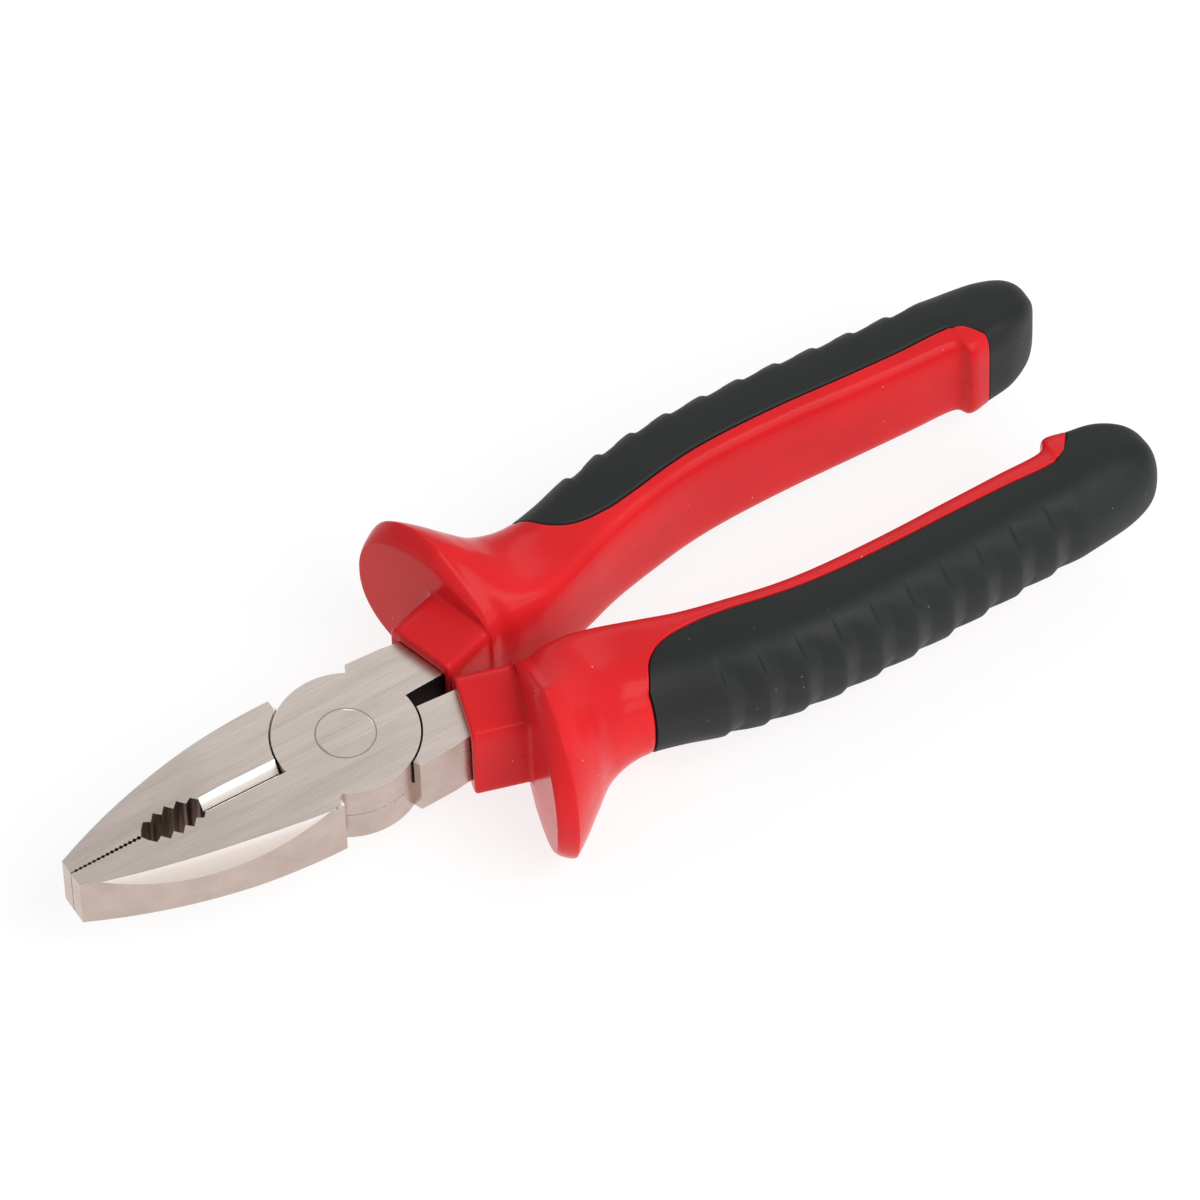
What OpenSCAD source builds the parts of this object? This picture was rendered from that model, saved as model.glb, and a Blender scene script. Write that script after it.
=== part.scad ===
// Lineman pliers: two forged halves on one rivet, with moulded handles.
// X runs from the nose (-) to the handles (+), and the pivot's axis is Z, through the origin.
// The head's ground underside lies at Z = 0. Half b is half a turned over about the head's middle.

/* [Head] */
// From the pivot to the end of the nose
nose_len = 52.6; // [46:0.1:64]
// Thickness at the joint
joint_t = 12.2; // [10.5:0.1:15]
// Thickness at the nose's end
tip_t = 10.4; // [8.5:0.1:12]
// Width of one jaw at the nose's end
tip_w = 2.9; // [2.4:0.1:3.6]
// Width of one jaw at its back
jaw_w = 12.6; // [12:0.1:15]
// Radius of the round lap joint
disc_r = 12.5; // [10.2:0.1:12.6]
// From the pivot to the back face of the jaws
jaw_back = 7.6; // [6:0.1:8.5]
// Radius of the rivet
rivet_r = 5.1; // [3.5:0.1:6.5]
// Half the slot between the two tangs behind the joint
slot_w = 1.5; // [1:0.1:2]

/* [Jaws] */
// From the pivot to the cutter's nose end
cutter_x = 27.4; // [24:0.1:30]
// Half the width of the cutter's open groove at the face
cutter_w = 1.65; // [1:0.05:2.2]
// Depth of the cutter's open groove
cutter_d = 2.1; // [1.2:0.1:3]
// From the pivot to the pipe grip's nose end
pipe_x = 38.6; // [36:0.1:41]
// Number of notches in each side of the pipe grip
pipe_n = 5; // [3:1:6]
// Half the width of the pipe grip at its middle, to the bottom of the notches
pipe_w = 3.3; // [2.4:0.1:3.8]
// Depth of one pipe grip notch
pipe_d = 1.3; // [0.6:0.1:1.6]
// Number of fine notches across the nose
nose_n = 15; // [8:1:18]
// Depth of one fine notch
nose_d = 0.42; // [0.15:0.01:0.5]
// Tilt of the ground facet along each jaw's outer edge
facet_tilt = 10.5; // [5:0.5:14]

/* [Handles] */
// From the pivot to the collars, at the tool's middle line
collar_x = 20.4; // [18.5:0.1:25]
// Width of each collar
collar_w = 13.7; // [13.2:0.1:17]
// Length of each collar
collar_len = 10; // [7:0.1:13]
// From the pivot to the end of the handles
handle_len = 146.2; // [120:0.1:180]
// Half the height of the collars
collar_h = 8.7; // [7.8:0.1:10]
// How far the finger guards stand out past the collars
guard_out = 16.6; // [8:0.1:20]
// Half the height of the finger guards
guard_h = 14.7; // [12:0.1:17]
// Half the height of the handles at their fullest
grip_h = 11.3; // [10:0.1:13]
// Width of the handles at their fullest
grip_w = 16.2; // [14:0.1:19]
// Half the gap between the closed handles where they are fullest
grip_in = 13.9; // [11.5:0.1:17]
// Thickness of the soft grip over the sleeve
grip_wall = 2.2; // [1.4:0.1:3]
// Gap between the two closed collars
collar_gap = 0.8; // [0.5:0.1:2]
// From the pivot to the end of the steel inside the handles
tang_len = 98; // [80:1:105]

/* [Fits] */
// Gap between the lapped faces
lap_gap = 0.1; // [0.05:0.01:0.2]
// Gap round the edge of the lap joint
edge_gap = 0.35; // [0.2:0.05:0.6]
// Gap between the closed jaws
jaw_gap = 0.08; // [0.06:0.02:0.3]
// Radial clearance between the rivet and half b
rivet_fit = 0.05; // [0.02:0.01:0.1]

/* [Hidden] */

steel = [0.74, 0.70, 0.67];
red = [0.86, 0.10, 0.10];
black = [0.16, 0.17, 0.17];

far = 400;                 // larger than the whole tool
half_t = joint_t / 2;
seam_y = -jaw_gap / 2;

// ---- jaw ----

// The outer wall of a jaw is an arc, tangent to the tool's length at the jaw's back.
arc_run = nose_len - jaw_back;
arc_rise = jaw_w - tip_w;
arc_r = (arc_run * arc_run + arc_rise * arc_rise) / (2 * arc_rise);

// The pipe grip is a shallow bow of notches between the cutter and the nose.
// bow gives its width at a share f of its length.
function bow(f) = 1 - 0.42 * pow(2 * f - 1, 2);
function pipe_notches() = [
    for (i = [0:pipe_n - 1], part = [0, 1])
        let (f = (i + part / 2) / pipe_n)
            [-pipe_x + f * (pipe_x - cutter_x), -(part == 0 ? pipe_w - pipe_d : pipe_w) * bow(f)]
];

// The nose grip is a row of fine notches, smaller towards the nose's end.
nose_lead = 0.6;           // plain edge at each end of the row
nose_pitch = (nose_len - pipe_x - 2 * nose_lead) / nose_n;
function nose_notches() = [
    for (i = [0:nose_n - 1], part = [0, 1])
        [
            -nose_len + nose_lead + (i + part / 2) * nose_pitch,
            seam_y - part * nose_d * (0.55 + 0.45 * i / nose_n)
        ]
];

// One jaw in plan: the gripping edge, then round by its back.
module jaw_plan() {
    back_ease = 1.6;       // the step from the jaw's back to the joint starts this far in
    polygon(concat(
        [[-nose_len, -far], [-nose_len, seam_y]],
        nose_notches(),
        [[-pipe_x - nose_lead, seam_y]],
        pipe_notches(),
        [
            [-cutter_x, -(pipe_w - pipe_d) * bow(1)],
            [-cutter_x, seam_y],
            [0, seam_y],
            [0, -jaw_w / 2],
            [-jaw_back, back_ease - jaw_w],
            [-jaw_back, -far]
        ]
    ));
}

// The open groove beside the cutting edge, on the upper face of one jaw
module cutter_groove() {
    edge_in = 0.06;        // relief of the deep part of the edge
    lean = (cutter_w - edge_in + seam_y) / cutter_d;
    translate([-cutter_x, 0, 0])
        rotate([90, 0, 90])
            linear_extrude(cutter_x)
                polygon([
                    [1, 0],
                    [seam_y, 0],
                    [seam_y - edge_in, half_t - cutter_d],
                    [-cutter_w - lean, half_t + 1],
                    [1, half_t + 1]
                ]);
}

// The head as seen from the side: flat over the joint, thinner towards the nose
module head_profile() {
    taper_x = 4 - cutter_x;
    rotate([90, 0, 0])
        linear_extrude(far, center = true)
            polygon([
                [-nose_len, -tip_t / 2],
                [taper_x, -half_t],
                [far, -half_t],
                [far, half_t],
                [taper_x, half_t],
                [-nose_len, tip_t / 2]
            ]);
}

// The outer wall, and the facet ground along its upper edge
module outer_wall() {
    facet_r = 1.9 * arc_r;
    facet_in = 0.95;       // how far the facet moves the upper edge in, halfway along
    mid_x = (nose_len + jaw_back) / 2;
    mid_y = jaw_w - arc_r + sqrt(arc_r * arc_r - pow(arc_run / 2, 2));
    intersection() {
        translate([-jaw_back, arc_r - jaw_w, 0])
            cylinder(h = far, r = arc_r, center = true, $fn = 200);
        translate([-mid_x, facet_in - mid_y, half_t])
            rotate([0, 0, -atan(arc_rise / arc_run)])
                rotate([-facet_tilt, 0, 0])
                    translate([0, facet_r, 0])
                        cylinder(h = far, r = facet_r, center = true, $fn = 200);
    }
}

module jaw() {
    difference() {
        intersection() {
            linear_extrude(joint_t, center = true)
                jaw_plan();
            outer_wall();
            head_profile();
        }
        for (side = [0, 1])
            mirror([0, 0, side])
                cutter_groove();
    }
}

// ---- the line of a handle ----

collar_tilt = 16.5;        // direction in which each handle leaves the head
along = [cos(collar_tilt), sin(collar_tilt)];
across = [-sin(collar_tilt), cos(collar_tilt)];
collar_in = [collar_x, collar_gap / 2];
collar_out = collar_in + collar_w * across;
guard_in = collar_in + (collar_len + 0.2) * along - 1 * across;
guard_out_c = collar_out + collar_len * along;
guard_tip = guard_out_c + guard_out * across;

// Places along a handle: 0 at the neck behind the guard, 1 at the ledge near its end
neck_x = collar_x + 21;
end_x = handle_len;
function hx(f) = neck_x + f * (end_x - 18.6 - neck_x);

// ---- tang: the steel inside the handle ----

module tang() {
    intersection() {
        linear_extrude(joint_t, center = true)
            polygon([
                [0, slot_w],
                [disc_r, slot_w],
                [collar_x, slot_w + 0.5],
                collar_in + [10.6, 5.2],
                [hx(0.05), 9.6],
                [hx(0.22), grip_in + 0.9],
                [tang_len, grip_in + 4.7],
                [tang_len, grip_in + 9.3],
                [hx(0.22), grip_in + 7.7],
                [hx(0.05), 17.4],
                collar_in + [10.6, collar_w - 0.7],
                collar_out + [0.5, -2],
                [disc_r + 1.1, jaw_w - 0.6],
                [jaw_back - 0.6, jaw_w - 0.3],
                [disc_r / 2, disc_r * 0.84],
                [0, disc_r / 2]
            ]);
        rotate([90, 0, 0])
            linear_extrude(far, center = true)
                polygon([
                    for (side = [-1, 1], k = [0:3])
                        let (
                            i = side < 0 ? k : 3 - k,
                            x = [-1, collar_x + 5.6, collar_x + 13.6, tang_len + 1][i],
                            thinner = [0, 0, 1.4, 2.2][i]
                        )
                        [x, side * (half_t - thinner)]
                ]);
    }
}

// ---- one forged half: jaw below the X axis, upper disc, tang above the X axis ----

module lever(rivet_hole_r) {
    difference() {
        union() {
            difference() {
                union() {
                    jaw();
                    tang();
                }
                translate([0, 0, lap_gap / 2 - joint_t])
                    cylinder(h = joint_t, r = disc_r + edge_gap, $fn = 160);
            }
            translate([0, 0, lap_gap / 2])
                cylinder(h = half_t - lap_gap / 2, r = disc_r, $fn = 160);
        }
        cylinder(h = far, r = rivet_hole_r, center = true, $fn = 96);
    }
}

// ---- moulded handle ----

rim_h = guard_h + 3;       // the guard's rim flares out behind its front face

// Rows down the handle. Each holds the inner point in plan, the outer point in plan,
// half the height at the fullest, and half the height at the inner face.
rows = [
    [guard_in, guard_tip, guard_h, collar_h + 0.4],
    [guard_in + 1.2 * along, guard_tip + 1.2 * along + 0.5 * across, guard_h + 1.6, collar_h + 1],
    [guard_in + 3.4 * along, guard_tip + 3.8 * along + 0.8 * across, rim_h, collar_h + 1.9],
    [[neck_x - 6.2, 3.4], guard_tip + 6.4 * along - 1.6 * across, rim_h - 0.8, collar_h + 2.4],
    [[neck_x - 3.6, 3.5], guard_tip + 8.8 * along - 6 * across, rim_h - 3.6, grip_h - 0.3],
    [[neck_x, 3.8], [neck_x - 4.8, 25.4], grip_h + 0.4, grip_h - 0.4],
    [[hx(0.053), 4.9], [hx(0.02), 23.9], grip_h - 0.6, grip_h - 0.8],
    [[hx(0.123), grip_in - 6.8], [hx(0.1), grip_in + grip_w - 5.1], grip_h - 0.5, grip_h - 0.8],
    [[hx(0.197), grip_in - 4.5], [hx(0.19), grip_in + grip_w - 2.7], grip_h - 0.3, grip_h - 0.7],
    [[hx(0.285), grip_in - 2.5], [hx(0.285), grip_in + grip_w - 1.1], grip_h, grip_h - 0.4],
    [[hx(0.39), grip_in - 0.7], [hx(0.39), grip_in + grip_w - 0.2], grip_h, grip_h - 0.4],
    [[hx(0.495), grip_in], [hx(0.495), grip_in + grip_w], grip_h - 0.2, grip_h - 0.6],
    [[hx(0.635), grip_in], [hx(0.635), grip_in + grip_w - 0.3], grip_h - 0.5, grip_h - 0.9],
    [[hx(0.775), grip_in - 0.5], [hx(0.775), grip_in + grip_w - 1], grip_h - 0.9, grip_h - 1.3],
    [[hx(0.9), grip_in - 0.9], [hx(0.9), grip_in + grip_w - 1.7], grip_h - 1.2, grip_h - 1.6],
    [[hx(1), grip_in - 1.2], [hx(1), grip_in + grip_w - 2.2], grip_h - 1.4, grip_h - 1.8],
    [[end_x - 16.4, grip_in - 2.3], [end_x - 16.6, grip_in + grip_w - 2.4], grip_h - 1.4, grip_h - 1.7],
    [[end_x - 12.6, grip_in - 1.9], [end_x - 12.6, grip_in + grip_w - 2.8], grip_h - 1.5, grip_h - 1.8],
    [[end_x - 7.6, grip_in - 1.5], [end_x - 7.4, grip_in + grip_w - 3.6], grip_h - 1.9, grip_h - 2.3],
    [[end_x - 3.4, grip_in + 0.1], [end_x - 3.2, grip_in + grip_w - 5.1], grip_h - 3.2, grip_h - 3.6],
    [[end_x - 1, grip_in + 2.2], [end_x - 0.9, grip_in + grip_w - 7.2], grip_h - 5.4, grip_h - 5.6],
    [[end_x, grip_in + 4.4], [end_x, grip_in + grip_w - 9.6], grip_h - 8.6, grip_h - 8.7]
];

ring_n = 28;               // points round a section
steps = 2;                 // sections between two rows

// A smooth curve through four neighbours, for numbers and points alike
function glide(a, b, c, d, t) =
    0.5 * (2 * b + (c - a) * t + (2 * a - 5 * b + 4 * c - d) * t * t
        + (3 * b - a - 3 * c + d) * t * t * t);

function row_at(i, t) =
    let (last = len(rows) - 1)
    [
        for (k = [0:3])
            glide(rows[max(i - 1, 0)][k], rows[i][k], rows[min(i + 1, last)][k], rows[min(i + 2, last)][k], t)
    ];

function power(v, n) = sign(v) * pow(abs(v), n);

// One section of the handle: round outside, squarer on the inner face.
// shrink draws in the outer side, the top and the bottom, and lets the inner face out.
function ring(row, shrink) =
    let (
        width = norm(row[1] - row[0]),
        dir = (row[1] - row[0]) / width,
        mid = 0.46 * width,
        high = row[2] - shrink,
        low = row[3] - shrink
    )
    [
        for (k = [0:ring_n - 1])
            let (
                a = 360 * k / ring_n,
                outside = cos(a) > 0,
                reach = outside ? width - mid - shrink : mid + shrink,
                u = reach * power(cos(a), outside ? 0.86 : 0.32),
                fall = outside ? 0 : (high - low) * abs(u) / reach,
                p = row[0] + (mid + u) * dir
            )
            [p[0], p[1], (high - fall) * power(sin(a), outside ? 0.86 : 0.42)]
    ];

module loft(rings) {
    n = len(rings);
    polyhedron(
        points = [for (r = rings, p = r) p],
        faces = concat(
            [[for (k = [0:ring_n - 1]) k]],
            [
                for (j = [0:n - 2], k = [0:ring_n - 1], half = [0, 1])
                    let (
                        a = j * ring_n + k,
                        b = j * ring_n + (k + 1) % ring_n
                    )
                    half == 0 ? [a, a + ring_n, b + ring_n] : [a, b + ring_n, b]
            ],
            [[for (k = [0:ring_n - 1]) n * ring_n - 1 - k]]
        )
    );
}

module handle_body(shrink = 0) {
    loft([
        for (i = [0:len(rows) - 2], s = [0:steps - 1])
            ring(row_at(i, s / steps), shrink),
        ring(rows[len(rows) - 1], shrink)
    ]);
}

// The plain collar round the tang, ahead of the finger guard, with its long edges eased
module collar() {
    ease = 1.4;
    translate(collar_in)
        rotate([90, 0, 90 + collar_tilt])
            linear_extrude(collar_len + 2)
                polygon([
                    [0, ease - collar_h],
                    [ease, -collar_h],
                    [collar_w - ease, -collar_h],
                    [collar_w, ease - collar_h],
                    [collar_w, collar_h - ease],
                    [collar_w - ease, collar_h],
                    [ease, collar_h],
                    [0, collar_h - ease]
                ]);
}

// Where the red inner strip ends and the soft grip takes the whole end
strip_end_x = end_x - 12.8;

// The soft grip's outline in plan: the outer side from the neck back, and the whole end
module grip_plan() {
    polygon([
        [far, -far],
        [far, far],
        [hx(0.065), far],
        [hx(0.07), grip_in + grip_w - 5],
        [hx(0.085), grip_in + 5],
        [hx(0.12), grip_in + 2],
        [hx(0.165), grip_in + 0.5],
        [hx(0.22), grip_in],
        [hx(0.285), grip_in + 0.9],
        [hx(0.38), grip_in + 2.5],
        [hx(0.495), grip_in + 3.4],
        [hx(0.775), grip_in + 3.1],
        [hx(1), grip_in + 3],
        [end_x - 15, grip_in + 2.2],
        [strip_end_x, grip_in - 0.5],
        [strip_end_x, -far]
    ]);
}

// What the soft grip fills: a skin over the sleeve's core, and the whole end
module grip_space() {
    difference() {
        linear_extrude(far, center = true)
            grip_plan();
        intersection() {
            handle_body(grip_wall);
            translate([-far, -far, -far])
                cube([far + strip_end_x + 3, 2 * far, 2 * far]);
        }
    }
}

module sleeve() {
    difference() {
        union() {
            difference() {
                handle_body();
                grip_space();
            }
            collar();
        }
        tang();
    }
}

module grip() {
    intersection() {
        handle_body();
        grip_space();
    }
}

// ---- nodes ----

// Half a stands as drawn, half b is turned over, and both rise so that the head rests on Z = 0.
module side_a() {
    translate([0, 0, half_t])
        children();
}

module side_b() {
    translate([0, 0, half_t])
        rotate([180, 0, 0])
            children();
}

module lever_a() {
    color(steel)
        side_a()
            lever(rivet_r);
}

module lever_b() {
    color(steel)
        side_b()
            lever(rivet_r + rivet_fit);
}

module pivot_rivet() {
    color(steel)
        cylinder(h = joint_t, r = rivet_r, $fn = 96);
}

module sleeve_a() {
    color(red)
        side_a()
            sleeve();
}

module sleeve_b() {
    color(red)
        side_b()
            sleeve();
}

module grip_a() {
    color(black)
        side_a()
            grip();
}

module grip_b() {
    color(black)
        side_b()
            grip();
}

lever_a();
lever_b();
pivot_rivet();
sleeve_a();
sleeve_b();
grip_a();
grip_b();
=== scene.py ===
from math import cos, pi, radians, sin
from types import SimpleNamespace

import bmesh
import bpy
import numpy as np
from bpy.props import FloatProperty, FloatVectorProperty, IntProperty, StringProperty
from mathutils import Matrix, Vector


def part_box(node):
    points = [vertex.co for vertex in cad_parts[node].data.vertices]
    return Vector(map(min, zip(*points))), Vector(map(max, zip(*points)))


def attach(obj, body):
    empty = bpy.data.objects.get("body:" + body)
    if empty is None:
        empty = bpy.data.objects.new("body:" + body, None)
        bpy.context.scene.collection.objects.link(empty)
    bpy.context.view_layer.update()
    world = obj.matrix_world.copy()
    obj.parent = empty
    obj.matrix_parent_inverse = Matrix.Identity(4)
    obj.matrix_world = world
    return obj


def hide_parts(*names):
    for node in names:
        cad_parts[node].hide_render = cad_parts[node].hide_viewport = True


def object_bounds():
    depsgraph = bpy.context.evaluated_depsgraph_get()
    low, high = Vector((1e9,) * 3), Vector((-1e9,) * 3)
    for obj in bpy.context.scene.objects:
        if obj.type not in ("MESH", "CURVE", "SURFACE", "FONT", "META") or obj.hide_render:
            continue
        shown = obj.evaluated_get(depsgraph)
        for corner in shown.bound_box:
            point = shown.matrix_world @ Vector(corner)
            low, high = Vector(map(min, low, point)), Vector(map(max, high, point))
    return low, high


bl_info = {
    "name": "Lineman pliers",
    "version": (1, 0, 0),
    "blender": (4, 5, 0),
    "location": "View3D > Sidebar > Pliers",
    "description": "Forged steel pliers with two-part moulded handles",
    "category": "Object",
}

MM = 0.001
SIDES = ("a", "b")
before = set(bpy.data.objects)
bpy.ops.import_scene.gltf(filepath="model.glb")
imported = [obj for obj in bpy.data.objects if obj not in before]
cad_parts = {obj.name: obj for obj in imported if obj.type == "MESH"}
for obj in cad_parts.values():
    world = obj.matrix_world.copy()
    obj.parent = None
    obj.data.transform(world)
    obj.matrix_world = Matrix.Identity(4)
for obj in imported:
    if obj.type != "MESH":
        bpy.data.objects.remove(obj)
cad_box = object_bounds()
head_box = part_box("lever_a")
grip_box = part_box("grip_a")
half_t = (head_box[1].z - head_box[0].z) / 2 / MM      # half the head's thickness, in mm
rivet_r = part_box("pivot_rivet")[1].x / MM
SAME_POINT = 0.002 * MM    # mesh points closer than this are one


# ---- sizes and colours a user would change ----

class HandleSizes(bpy.types.PropertyGroup):
    """Sizes of the moulded handles"""
    length: FloatProperty(
        name="Handle length", description="From the pivot to the end of the handles",
        default=grip_box[1].x, unit="LENGTH")
    collar_x: FloatProperty(
        name="Collar place", description="From the pivot to the collars, at the middle line",
        default=20.4 * MM, unit="LENGTH")
    collar_w: FloatProperty(
        name="Collar width", description="Width of each collar", default=13.7 * MM, unit="LENGTH")
    collar_len: FloatProperty(
        name="Collar length", description="Length of each collar", default=10 * MM, unit="LENGTH")
    collar_h: FloatProperty(
        name="Collar half height", description="Half the height of the collars",
        default=8.7 * MM, unit="LENGTH")
    collar_gap: FloatProperty(
        name="Collar gap", description="Gap between the closed collars",
        default=0.8 * MM, unit="LENGTH")
    collar_tilt: FloatProperty(
        name="Collar tilt", description="Direction in which each handle leaves the head",
        default=radians(16.5), subtype="ANGLE")
    guard_out: FloatProperty(
        name="Guard reach", description="How far the finger guards stand out past the collars",
        default=16.6 * MM, unit="LENGTH")
    guard_h: FloatProperty(
        name="Guard half height", description="Half the height of the guards' front faces",
        default=14.7 * MM, unit="LENGTH")
    grip_h: FloatProperty(
        name="Grip half height", description="Half the height of the handles at their fullest",
        default=11.3 * MM, unit="LENGTH")
    grip_w: FloatProperty(
        name="Grip width", description="Width of the handles at their fullest",
        default=16.2 * MM, unit="LENGTH")
    grip_in: FloatProperty(
        name="Grip place", description="Half the gap between the handles where they are fullest",
        default=13.9 * MM, unit="LENGTH")
    grip_wall: FloatProperty(
        name="Grip wall", description="Thickness of the soft grip over the sleeve",
        default=2.2 * MM, unit="LENGTH")


class RibSizes(bpy.types.PropertyGroup):
    """Sizes of the finger ribs on the soft grips"""
    count: IntProperty(name="Ribs", description="Number of ribs on each grip", default=10)
    pitch: FloatProperty(
        name="Rib pitch", description="From one rib to the next", default=7.13 * MM, unit="LENGTH")
    start: FloatProperty(
        name="Rib start", description="From the grip's front edge to the first rib's crest",
        default=12.5 * MM, unit="LENGTH")
    depth: FloatProperty(
        name="Rib depth", description="Depth of the hollow between two ribs",
        default=1.2 * MM, unit="LENGTH")


class Finishes(bpy.types.PropertyGroup):
    """Colours of the surfaces"""
    steel: StringProperty(name="Steel", description="Plated steel, sRGB hex", default="D8CCC3")
    # The side walls' darker, warmer colour is painted shade and a painted warm reflection
    side: StringProperty(
        name="Steel walls", description="Unground side walls, sRGB hex", default="C2B0A6")
    # A painted highlight: the pale colour along the top of the facets
    bright: StringProperty(
        name="Stoned steel", description="Facets and cutter bevels, sRGB hex", default="EFEAE6")
    # Painted shade: the dark colour of the walls of the teeth, in the gap between the jaws
    teeth_shade: StringProperty(
        name="Unground steel", description="Bare walls of the teeth, sRGB hex", default="7E695F")
    red: StringProperty(name="Sleeve", description="Moulded sleeve, sRGB hex", default="D4262A")
    black: StringProperty(name="Grip", description="Soft grip, sRGB hex", default="191B1B")
    paper: StringProperty(name="Floor", description="Studio paper, sRGB hex", default="808080")


class StudioSettings(bpy.types.PropertyGroup):
    """Camera and light"""
    azimuth: FloatProperty(
        name="Camera azimuth", description="Angle round the object, 0 looking along +Y",
        default=radians(-29.5), subtype="ANGLE")
    elevation: FloatProperty(
        name="Camera elevation", description="Angle above the horizon",
        default=radians(52.74), subtype="ANGLE")
    roll: FloatProperty(
        name="Camera roll", description="Turn about the line of sight",
        default=radians(-2.21), subtype="ANGLE")
    distance: FloatProperty(
        name="Camera distance", description="From the camera to the point it looks at",
        default=2.012, unit="LENGTH")
    look_at: FloatVectorProperty(
        name="Look at", description="The point at the middle of the view",
        default=(0.0523, 0.0052, 0.0061), subtype="TRANSLATION")
    lens: FloatProperty(
        name="Focal length", description="Focal length in millimetres, on a 36 mm sensor",
        default=360, unit="CAMERA")


def in_mm(group):
    """The group's values by name, with lengths in millimetres."""
    values = {}
    for name in group.bl_rna.properties.keys():
        prop = group.bl_rna.properties[name]
        value = getattr(group, name)
        values[name] = value / MM if getattr(prop, "unit", "NONE") == "LENGTH" else value
    return SimpleNamespace(**values)


# ---- the skin of a handle, in millimetres, on the plane halfway up the head ----

# How square a section is: 1 is round and 0 is a rectangle. The three numbers are for its outer
# side, its inner side across, and its inner side up
MOULDED = (0.86, 0.25, 0.34)
COLLAR = (0.2, 0.2, 0.2)
POCKET = (0.12, 0.12, 0.12)
CENTRE = 0.46              # share of a section's width at which its height is greatest
POCKET_WALLS = 1.35, 1.75  # thickness of the collar inside and outside the pocket
POCKET_ROOM = 0.3          # room over and under the steel in the pocket
NECK = 21                  # from the collar's front to the neck
LEDGE = 18.6               # the ledge starts this far from the handle's end
NECK_ROW, LEDGE_ROW = 6, 16    # rows of handle_rows at those two places, counted from 0


def row(inner, outer, high, low, square=MOULDED):
    """One section: inner and outer points in plan, half heights, and how square it is."""
    return np.array([*inner, *outer, high, low, *square])


def handle_line(s):
    """Directions along and across the collar, and its two front corners in plan."""
    along = np.array([cos(s.collar_tilt), sin(s.collar_tilt)])
    across = np.array([-along[1], along[0]])
    collar_in = np.array([s.collar_x, s.collar_gap / 2])
    return along, across, collar_in, collar_in + s.collar_w * across


def collar_row(s, forward, inset=0.0):
    """The collar's section that far behind its front face."""
    along, across, collar_in, collar_out = handle_line(s)
    step = forward * along
    return row(collar_in + step + inset * across, collar_out + step - inset * across,
               s.collar_h - inset, s.collar_h - inset, COLLAR)


def pocket_row(s, forward):
    """The pocket in the collar, a little larger than the steel it holds."""
    along, across, collar_in, collar_out = handle_line(s)
    step = forward * along
    inside, outside = POCKET_WALLS
    return row(collar_in + step + inside * across, collar_out + step - outside * across,
               half_t + POCKET_ROOM, half_t + POCKET_ROOM, POCKET)


def handle_rows(s):
    """Sections from the guard's front face to the end of the handle. The numbers are how each
    stands off the sizes of its part of the handle, in millimetres."""
    along, across, collar_in, collar_out = handle_line(s)
    guard_in = collar_in + (s.collar_len + 0.2) * along - 0.25 * across
    tip = collar_out + s.collar_len * along + s.guard_out * across
    rim = s.guard_h + 3
    neck, end = s.collar_x + NECK, s.length
    inner, outer, high = s.grip_in, s.grip_in + s.grip_w, s.grip_h

    def down(f):
        """Place along the handle: 0 at the neck, 1 where the ledge starts."""
        return neck + f * (end - LEDGE - neck)

    return np.array([
        # The guard: its front face, its rim, and the hollow behind it
        row(guard_in, tip, s.guard_h, s.collar_h + 0.4),
        row(guard_in + 0.3 * along, tip + along + 0.4 * across,
            s.guard_h + 1.5, s.collar_h + 0.6),
        row(guard_in + 0.9 * along, tip + 3.2 * along + 0.8 * across, rim, s.collar_h + 0.9),
        row(guard_in + 2.6 * along, tip + 4 * along + 0.3 * across,
            rim - 0.15, s.collar_h + 1.3),
        row([neck - 6.2, 3.4], tip + 6.2 * along - 2.4 * across, rim - 1.5, s.collar_h + 1.9),
        row([neck - 3.6, 3.5], tip + 8.8 * along - 6 * across, rim - 3.6, high - 0.3),
        # The neck, and the body of the handle
        row([neck, 3.8], [neck - 4.8, 25.4], high + 0.4, high - 0.4),
        row([down(0.053), 4.9], [down(0.02), 23.9], high - 0.6, high - 0.8),
        row([down(0.123), inner - 6.8], [down(0.1), outer - 5.1], high - 0.5, high - 0.8),
        row([down(0.197), inner - 4.5], [down(0.19), outer - 2.7], high - 0.3, high - 0.7),
        row([down(0.285), inner - 2.5], [down(0.285), outer - 1.1], high, high - 0.4),
        row([down(0.39), inner - 0.7], [down(0.39), outer - 0.2], high, high - 0.4),
        row([down(0.495), inner], [down(0.495), outer], high - 0.2, high - 0.6),
        row([down(0.635), inner], [down(0.635), outer - 0.3], high - 0.5, high - 0.9),
        row([down(0.775), inner - 0.5], [down(0.775), outer - 1], high - 0.9, high - 1.3),
        row([down(0.9), inner - 0.9], [down(0.9), outer - 1.7], high - 1.2, high - 1.6),
        row([down(1), inner - 1.2], [down(1), outer - 2.2], high - 1.4, high - 1.8),
        # The ledge, and the rounded end
        row([end - 16.4, inner - 3.3], [end - 16.6, outer - 2.4], high - 1.4, high - 1.7),
        row([end - 12.6, inner - 2.8], [end - 12.6, outer - 2.8], high - 1.5, high - 1.8),
        row([end - 7.6, inner - 2.1], [end - 7.4, outer - 3.6], high - 1.9, high - 2.3),
        row([end - 3.4, inner - 0.2], [end - 3.2, outer - 5.1], high - 3.2, high - 3.6),
        row([end - 1, inner + 2.2], [end - 0.9, outer - 7.2], high - 5.4, high - 5.6),
        row([end, inner + 4.4], [end, outer - 9.6], high - 8.6, high - 8.7),
    ])


def glide(rows, place):
    """Rows between the rows, on a smooth curve. place counts rows, from 0."""
    i = np.clip(np.floor(place).astype(int), 0, len(rows) - 2)
    t = (place - i)[:, None]
    last = len(rows) - 1
    a, b, c, d = (rows[np.clip(i + k, 0, last)] for k in (-1, 0, 1, 2))
    return 0.5 * (2 * b + (c - a) * t + (2 * a - 5 * b + 4 * c - d) * t ** 2
                  + (3 * b - a - 3 * c + d) * t ** 3)


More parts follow.
